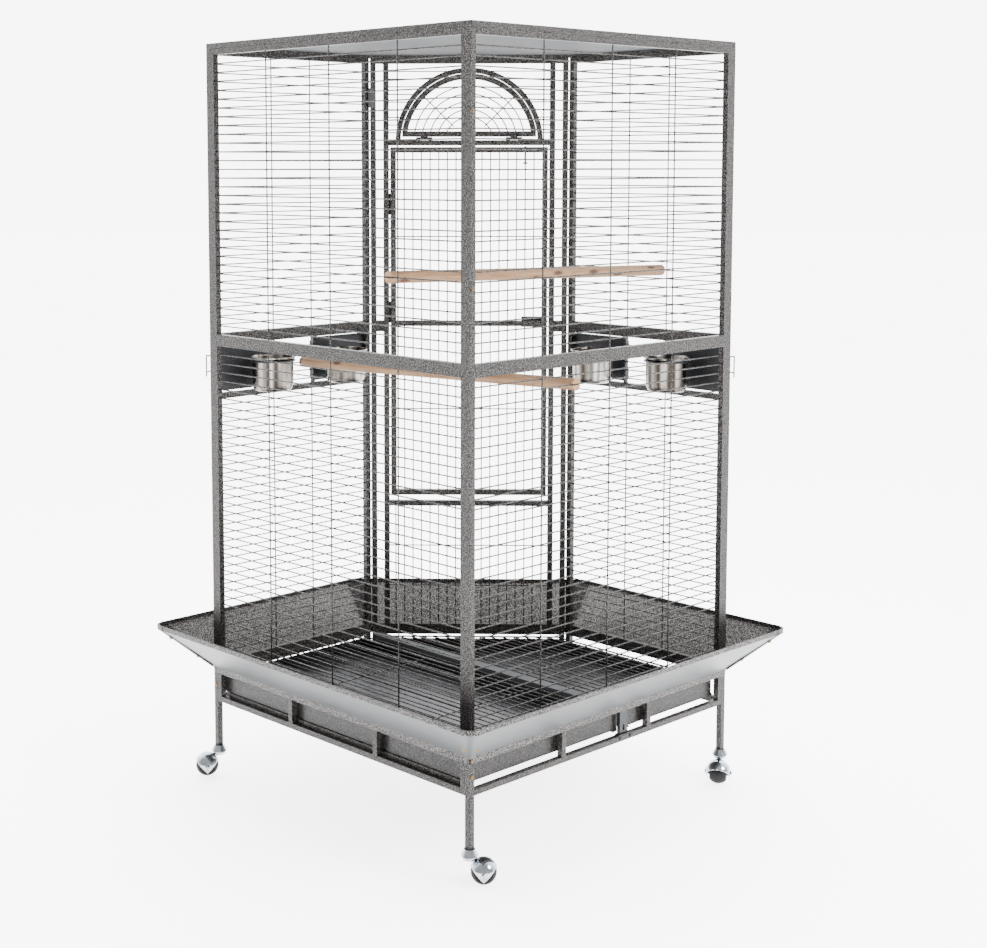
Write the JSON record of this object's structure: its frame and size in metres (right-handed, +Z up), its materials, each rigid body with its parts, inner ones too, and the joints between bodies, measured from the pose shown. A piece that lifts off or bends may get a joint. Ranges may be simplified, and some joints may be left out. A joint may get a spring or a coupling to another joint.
{
  "type": "bird cage on stand",
  "caption": "Tall corner bird cage of grey hammertone steel on a wheeled stand, with seed guard, slide-out trays, perches and swing-out feeder cups.",
  "frame": {"origin": "On the floor, under the middle of the cage's whole plan box.", "axes": "+Z up; the door side faces -Y and the right-angled back corner points to +Y; +X is to the right of a person who stands at the door."},
  "size_m": [1.382, 1.1105, 1.616],
  "materials": {
    "hammertone": "silver-black hammertone powder coat",
    "sheet_grey": "smooth mid-grey powder coat",
    "stainless": "spun stainless, soft brushed",
    "timber": "pale natural pine, round perch",
    "chrome_plate": "bright chrome plate",
    "black_rubber": "smooth black wheel",
    "black_steel": "black powder coat",
    "zinc_yellow": "yellow-passivated zinc"
  },
  "bodies": {
    "cage": {"upper_back_left": "hammertone", "upper_back_right": "hammertone", "upper_side_left": "hammertone", "upper_side_right": "hammertone", "lower_back_left": "hammertone", "lower_back_right": "hammertone", "lower_side_left": "hammertone", "lower_side_right": "hammertone", "feeder_frame_left": "hammertone", "feeder_frame_right": "hammertone", "roof_frame": "hammertone", "front_frame": "hammertone", "arch_hoop": "hammertone", "front_grid": "hammertone", "spandrel_wires": "hammertone", "door_hardware": "hammertone", "guard_back_left": "hammertone", "guard_back_right": "hammertone", "guard_side_left": "hammertone", "guard_side_right": "hammertone", "guard_front": "hammertone", "guard_corners": "hammertone", "stand_back_left": "hammertone", "stand_back_right": "hammertone", "stand_side_left": "hammertone", "stand_side_right": "hammertone", "stand_front": "hammertone", "roof_sheet": "sheet_grey", "divider_beam": "sheet_grey", "divider_bracket": "black_steel", "perch_high": "timber", "perch_low": "timber", "caster_cups": "chrome_plate", "screws": "zinc_yellow"},
    "main_door": {"main_door": "hammertone"},
    "door_bolt": {"door_bolt": "chrome_plate"},
    "top_bolt": {"top_bolt": "chrome_plate"},
    "landing_door": {"landing_door": "hammertone"},
    "feeder_door_left_rear": {"feeder_door_left_rear": "black_steel"},
    "feeder_cup_left_rear": {"feeder_cup_left_rear": "stainless"},
    "feeder_door_left_fore": {"feeder_door_left_fore": "black_steel"},
    "feeder_cup_left_fore": {"feeder_cup_left_fore": "stainless"},
    "feeder_door_right_rear": {"feeder_door_right_rear": "black_steel"},
    "feeder_cup_right_rear": {"feeder_cup_right_rear": "stainless"},
    "feeder_door_right_fore": {"feeder_door_right_fore": "black_steel"},
    "feeder_cup_right_fore": {"feeder_cup_right_fore": "stainless"},
    "tray_back": {"tray_back": "hammertone"},
    "tray_front": {"tray_front": "hammertone"},
    "grate_back": {"grate_back": "hammertone"},
    "grate_front": {"grate_front": "hammertone"},
    "hood_back": {"caster_hood_back": "chrome_plate"},
    "wheel_back": {"caster_wheel_back": "black_rubber"},
    "hood_left": {"caster_hood_left": "chrome_plate"},
    "wheel_left": {"caster_wheel_left": "black_rubber"},
    "hood_front_left": {"caster_hood_front_left": "chrome_plate"},
    "wheel_front_left": {"caster_wheel_front_left": "black_rubber"},
    "hood_front_right": {"caster_hood_front_right": "chrome_plate"},
    "wheel_front_right": {"caster_wheel_front_right": "black_rubber"},
    "hood_right": {"caster_hood_right": "chrome_plate"},
    "wheel_right": {"caster_wheel_right": "black_rubber"}
  },
  "joints": [
    {"name": "main_door_swing", "type": "hinge", "parent": "cage", "child": "main_door", "pos_m": [0.186, -0.46271, 1.137], "axis": [0, 0, 1], "range_deg": [0, 150]},
    {"name": "door_bolt_slide", "type": "slide", "parent": "main_door", "child": "door_bolt", "axis": [1, 0, 0], "range_m": [0, 0.009]},
    {"name": "top_bolt_slide", "type": "slide", "parent": "main_door", "child": "top_bolt", "axis": [0, 0, -1], "range_m": [0, 0.012]},
    {"name": "landing_door_fold", "type": "hinge", "parent": "cage", "child": "landing_door", "pos_m": [0, -0.46271, 1.418], "axis": [1, 0, 0], "range_deg": [0, 90]},
    {"name": "feeder_door_left_rear_swing", "type": "hinge", "parent": "cage", "child": "feeder_door_left_rear", "pos_m": [-0.44809, -0.25788, 0.912], "axis": [0, 0, 1], "range_deg": [0, 100]},
    {"name": "feeder_cup_left_rear_lift", "type": "slide", "parent": "feeder_door_left_rear", "child": "feeder_cup_left_rear", "axis": [0, 0, 1], "range_m": [0, 0.075]},
    {"name": "feeder_door_left_fore_swing", "type": "hinge", "parent": "cage", "child": "feeder_door_left_fore", "pos_m": [-0.36466, -0.34132, 0.912], "axis": [0, 0, -1], "range_deg": [0, 100]},
    {"name": "feeder_cup_left_fore_lift", "type": "slide", "parent": "feeder_door_left_fore", "child": "feeder_cup_left_fore", "axis": [0, 0, 1], "range_m": [0, 0.075]},
    {"name": "feeder_door_right_rear_swing", "type": "hinge", "parent": "cage", "child": "feeder_door_right_rear", "pos_m": [0.44809, -0.25788, 0.912], "axis": [0, 0, -1], "range_deg": [0, 100]},
    {"name": "feeder_cup_right_rear_lift", "type": "slide", "parent": "feeder_door_right_rear", "child": "feeder_cup_right_rear", "axis": [0, 0, 1], "range_m": [0, 0.075]},
    {"name": "feeder_door_right_fore_swing", "type": "hinge", "parent": "cage", "child": "feeder_door_right_fore", "pos_m": [0.36466, -0.34132, 0.912], "axis": [0, 0, 1], "range_deg": [0, 100]},
    {"name": "feeder_cup_right_fore_lift", "type": "slide", "parent": "feeder_door_right_fore", "child": "feeder_cup_right_fore", "axis": [0, 0, 1], "range_m": [0, 0.075]},
    {"name": "tray_back_slide", "type": "slide", "parent": "cage", "child": "tray_back", "axis": [0.7071, -0.7071, 0], "range_m": [0, 0.78]},
    {"name": "tray_front_slide", "type": "slide", "parent": "cage", "child": "tray_front", "axis": [0.7071, -0.7071, 0], "range_m": [0, 0.5]},
    {"name": "grate_back_slide", "type": "slide", "parent": "cage", "child": "grate_back", "axis": [0.7071, -0.7071, 0], "range_m": [0, 0.4]},
    {"name": "grate_front_slide", "type": "slide", "parent": "cage", "child": "grate_front", "axis": [0.7071, -0.7071, 0], "range_m": [0, 0.25]},
    {"name": "caster_swivel_back", "type": "hinge", "parent": "cage", "child": "hood_back", "pos_m": [0, 0.42094, 0.05], "axis": [0, 0, 1], "continuous": true},
    {"name": "caster_roll_back", "type": "hinge", "parent": "hood_back", "child": "wheel_back", "pos_m": [-0.027, 0.42094, 0.025], "axis": [0, -1, 0], "continuous": true},
    {"name": "caster_swivel_left", "type": "hinge", "parent": "cage", "child": "hood_left", "pos_m": [-0.55671, -0.13577, 0.05], "axis": [0, 0, 1], "continuous": true},
    {"name": "caster_roll_left", "type": "hinge", "parent": "hood_left", "child": "wheel_left", "pos_m": [-0.54972, -0.10969, 0.025], "axis": [-0.9659, 0.2588, 0], "continuous": true},
    {"name": "caster_swivel_front_left", "type": "hinge", "parent": "cage", "child": "hood_front_left", "pos_m": [-0.24254, -0.44993, 0.05], "axis": [0, 0, 1], "continuous": true},
    {"name": "caster_roll_front_left", "type": "hinge", "parent": "hood_front_left", "child": "wheel_front_left", "pos_m": [-0.26791, -0.45917, 0.025], "axis": [0.342, -0.9397, 0], "continuous": true},
    {"name": "caster_swivel_front_right", "type": "hinge", "parent": "cage", "child": "hood_front_right", "pos_m": [0.24254, -0.44993, 0.05], "axis": [0, 0, 1], "continuous": true},
    {"name": "caster_roll_front_right", "type": "hinge", "parent": "hood_front_right", "child": "wheel_front_right", "pos_m": [0.26592, -0.46343, 0.025], "axis": [0.5, 0.866, 0], "continuous": true},
    {"name": "caster_swivel_right", "type": "hinge", "parent": "cage", "child": "hood_right", "pos_m": [0.55671, -0.13577, 0.05], "axis": [0, 0, 1], "continuous": true},
    {"name": "caster_roll_right", "type": "hinge", "parent": "hood_right", "child": "wheel_right", "pos_m": [0.5833, -0.13108, 0.025], "axis": [-0.1736, 0.9848, 0], "continuous": true}
  ]
}
